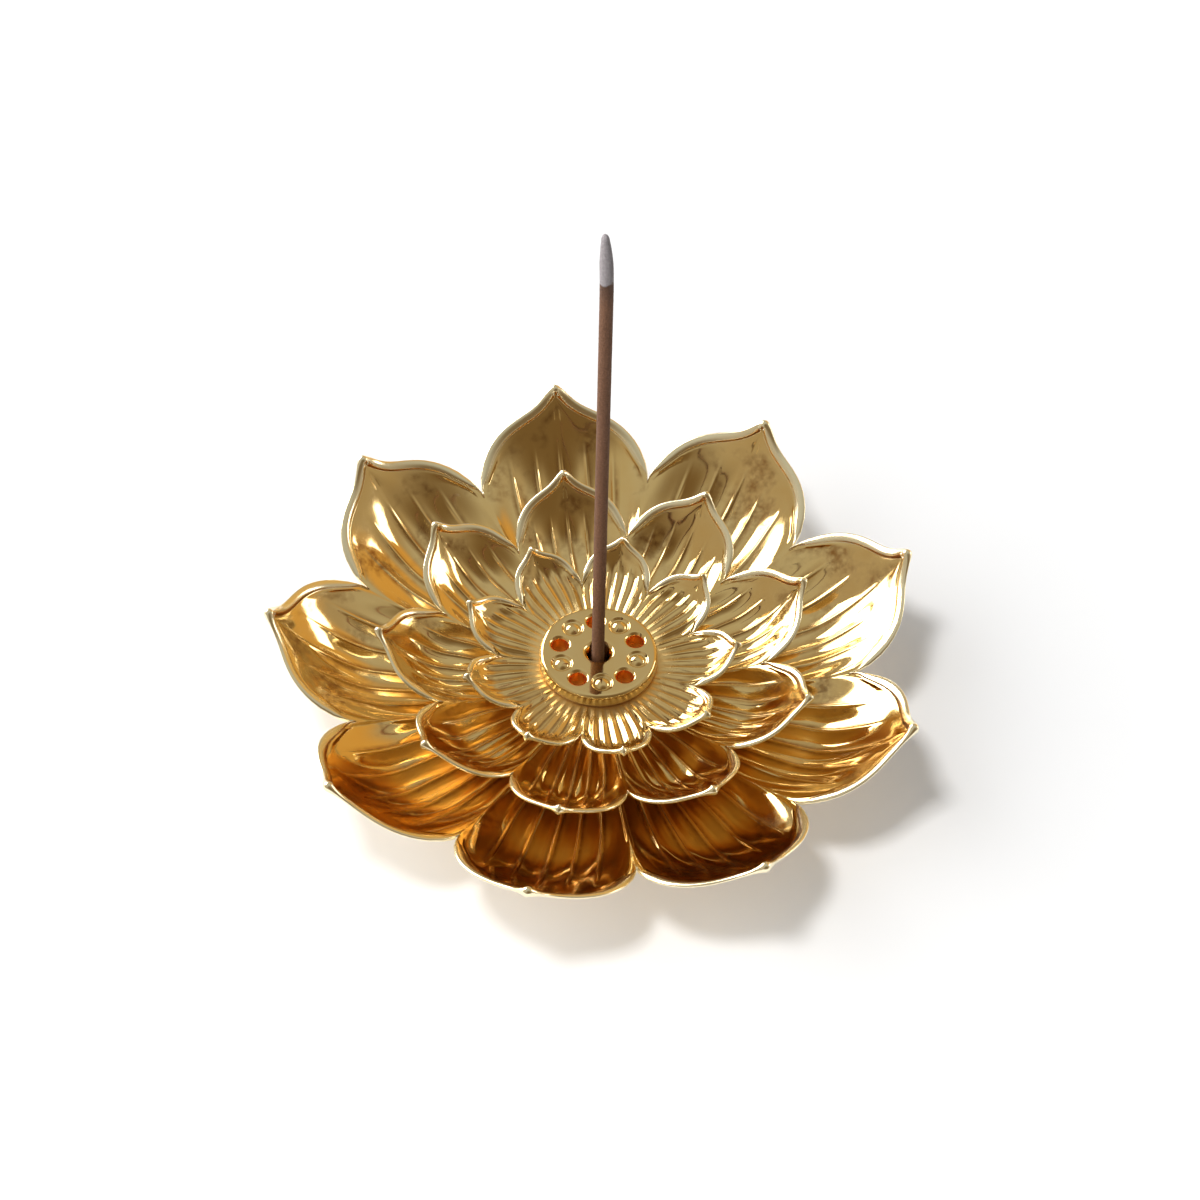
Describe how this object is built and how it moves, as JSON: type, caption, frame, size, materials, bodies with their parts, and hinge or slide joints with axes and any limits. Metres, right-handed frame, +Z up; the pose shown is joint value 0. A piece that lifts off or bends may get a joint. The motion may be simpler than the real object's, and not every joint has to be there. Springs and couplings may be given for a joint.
{
  "type": "incense stick holder",
  "caption": "Lotus-shaped incense stick holder: nested tiers of cupped, fluted petals in polished gold plate round a seed pod whose centre socket holds an upright stick.",
  "frame": {"origin": "centre of the foot pad's underside, on the axis of the stem", "axes": "+Z up along the stem; an outer petal points along +Y"},
  "size_m": [0.099, 0.0976, 0.1011],
  "materials": {
    "gold_plate": "mirror-polished pale gold plate",
    "zinc_steel": "zinc-plated steel",
    "foot_pad_rubber": "matt black solid rubber",
    "incense": "matt pressed incense paste with a grey ash tip"
  },
  "bodies": {
    "base": {"foot_pad": "foot_pad_rubber", "base_foot": "gold_plate", "outer_petal_tier": "gold_plate", "lower_spacer": "gold_plate", "upper_spacer": "gold_plate", "seed_pod": "gold_plate", "screw_washer": "zinc_steel", "clamp_screw": "zinc_steel"},
    "middle_tier": {"middle_petal_tier": "gold_plate"},
    "inner_tier": {"inner_petal_tier": "gold_plate"},
    "stick": {"incense_stick": "incense"}
  },
  "joints": [
    {"name": "middle_tier_turn", "type": "hinge", "parent": "base", "child": "middle_tier", "pos_m": [0, 0, 0.0084], "axis": [0, 0, 1], "continuous": true},
    {"name": "inner_tier_turn", "type": "hinge", "parent": "base", "child": "inner_tier", "pos_m": [0, 0, 0.0126], "axis": [0, 0, 1], "continuous": true},
    {"name": "stick_lift", "type": "slide", "parent": "base", "child": "stick", "axis": [-0.0155, 0.0027, 0.9999], "range_m": [0, 0.015]}
  ]
}
